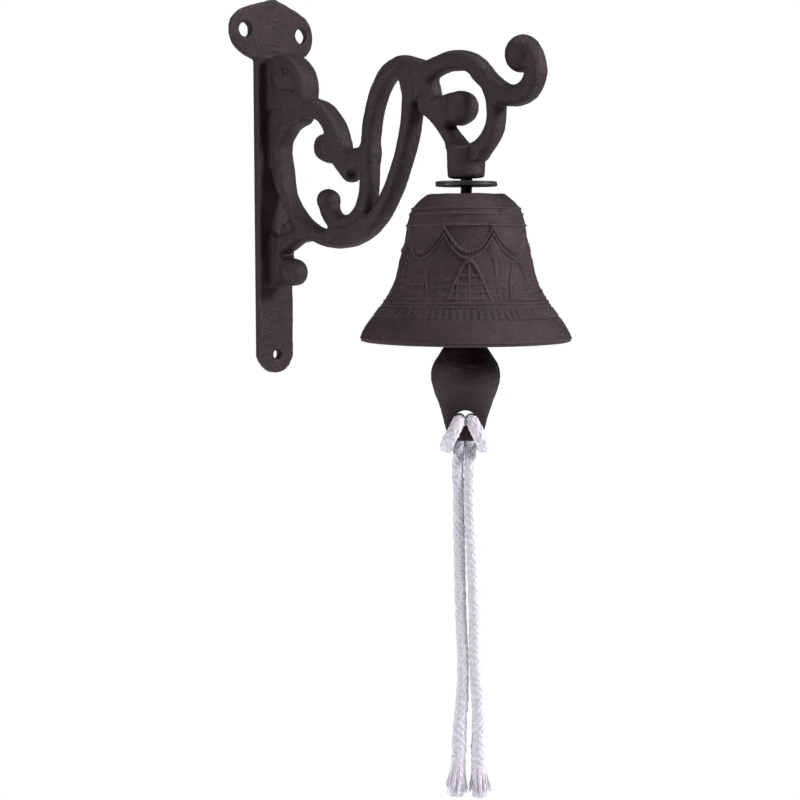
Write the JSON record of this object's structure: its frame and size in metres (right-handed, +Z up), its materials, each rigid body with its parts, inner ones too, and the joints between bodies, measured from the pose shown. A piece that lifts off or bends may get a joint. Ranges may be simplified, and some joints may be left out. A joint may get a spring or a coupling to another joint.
{
  "type": "wall bell",
  "caption": "Cast iron bell on a scroll wall bracket, with a hanging clapper and a cotton pull rope.",
  "frame": {"origin": "on the wall face of the plate, midway between the two upper screw holes", "axes": "+X out of the wall towards the bell, +Z up, Y along the wall; the scroll stands in the XZ plane"},
  "size_m": [0.1974, 0.1, 0.401],
  "materials": {
    "bracket_iron": "rough sand-cast, dark brown-black patina",
    "bell_iron": "rough sand-cast relief, dark brown patina",
    "clapper_iron": "rough sand-cast, dark brown patina",
    "black_steel": "blackened, slightly worn",
    "washer_steel": "blackened sheet, slightly green-grey",
    "cotton_rope": "soft white braided cotton, frayed ends"
  },
  "bodies": {
    "bracket": {"wall_bracket": "bracket_iron", "hanger_eye_bolt": "black_steel", "upper_washer": "washer_steel", "lower_washer": "washer_steel", "crown_seat_washer": "washer_steel", "support_nut": "black_steel", "lock_nut": "black_steel"},
    "bell": {"bell": "bell_iron"},
    "link": {"clapper_link": "black_steel"},
    "clapper": {"clapper": "clapper_iron", "pull_rope_left": "cotton_rope", "pull_rope_right": "cotton_rope"}
  },
  "joints": [
    {"name": "bell_swivel", "type": "hinge", "parent": "bracket", "child": "bell", "pos_m": [0.1474, 0, -0.0897], "axis": [0, 0, 1], "continuous": true},
    {"name": "link_swing", "type": "hinge", "parent": "bracket", "child": "link", "pos_m": [0.1474, 0, -0.117], "axis": [0.7071, 0.7071, 0], "range_deg": [-23, 23]},
    {"name": "clapper_swing", "type": "hinge", "parent": "link", "child": "clapper", "pos_m": [0.1474, 0, -0.128], "axis": [-0.7071, 0.7071, 0], "range_deg": [-28, 28]}
  ]
}
